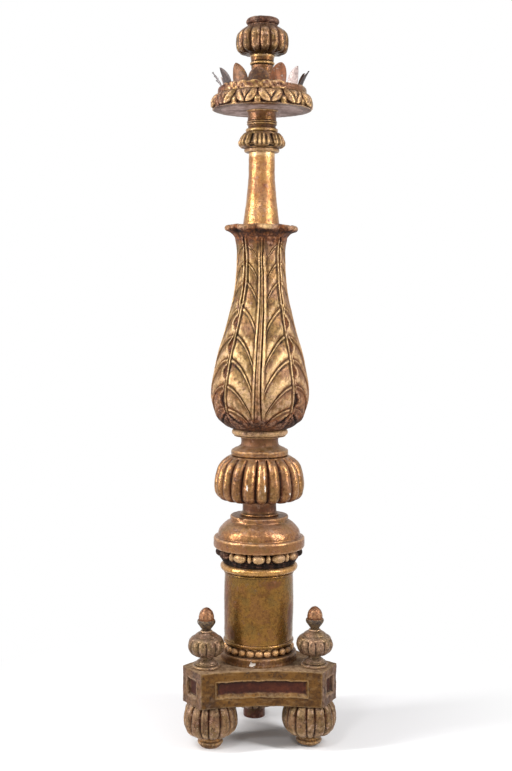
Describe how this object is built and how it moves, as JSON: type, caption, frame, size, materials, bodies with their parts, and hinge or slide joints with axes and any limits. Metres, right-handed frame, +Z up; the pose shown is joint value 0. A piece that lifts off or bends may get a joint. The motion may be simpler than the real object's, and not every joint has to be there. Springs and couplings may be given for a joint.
{
  "type": "candle stand",
  "caption": "Tall carved and gilded wooden candle stand with a triangular base on bun feet, a leaf-carved baluster, a drip pan and a candle socket.",
  "frame": {"origin": "centre of the bounding box on the floor; the column axis is 33.75 mm in front of it, towards -Y", "axes": "+Z up along the column, -Y out of the front concave side of the base, +X to the viewer's right"},
  "size_m": [0.3614, 0.3281, 1.7],
  "materials": {
    "worn_gilding": "worn water gilding over red bole on carved wood, satin, dark in the hollows",
    "bright_gilding": "the best-kept gilding, burnished, with fine cracks",
    "dull_gilding": "dull olive-brown gilding with grey dust and bare wood",
    "coppery_gilding": "gilding rubbed through to the coppery bole",
    "dark_iron": "dark iron",
    "bare_tin": "thin sheet metal, most of its gilding gone"
  },
  "bodies": {
    "root": {"base_plinth": "dull_gilding", "candle_nozzle": "worn_gilding", "column_base_disc": "worn_gilding", "column_bead_ring": "bright_gilding", "column_bud_band": "worn_gilding", "column_cap": "worn_gilding", "column_drum": "worn_gilding", "drip_pan": "worn_gilding", "finial_acorn_back": "coppery_gilding", "finial_acorn_left": "coppery_gilding", "finial_acorn_right": "coppery_gilding", "finial_foot_back": "dull_gilding", "finial_foot_left": "dull_gilding", "finial_foot_right": "dull_gilding", "finial_knop_back": "dull_gilding", "finial_knop_left": "dull_gilding", "finial_knop_right": "dull_gilding", "foot_bun_back": "dull_gilding", "foot_bun_left": "dull_gilding", "foot_bun_right": "dull_gilding", "foot_glide_right": "dark_iron", "foot_pad_back": "worn_gilding", "foot_pad_left": "worn_gilding", "foot_pad_right": "worn_gilding", "gadrooned_knop": "coppery_gilding", "knop_collar": "worn_gilding", "leaf_baluster": "worn_gilding", "leaf_collar": "worn_gilding", "neck_shaft": "bright_gilding", "nozzle_stem": "worn_gilding", "pan_edge_ring": "coppery_gilding", "pan_stem": "bright_gilding", "tin_leaf_01": "bare_tin", "tin_leaf_02": "bare_tin", "tin_leaf_03": "bare_tin", "tin_leaf_04": "bare_tin", "tin_leaf_05": "bare_tin", "tin_leaf_06": "bare_tin", "tin_leaf_07": "bare_tin", "tin_leaf_08": "bare_tin", "tin_leaf_09": "bare_tin", "tin_leaf_10": "bare_tin", "tin_leaf_11": "bare_tin", "tin_leaf_12": "bare_tin", "tin_leaf_13": "bare_tin"}
  },
  "joints": []
}
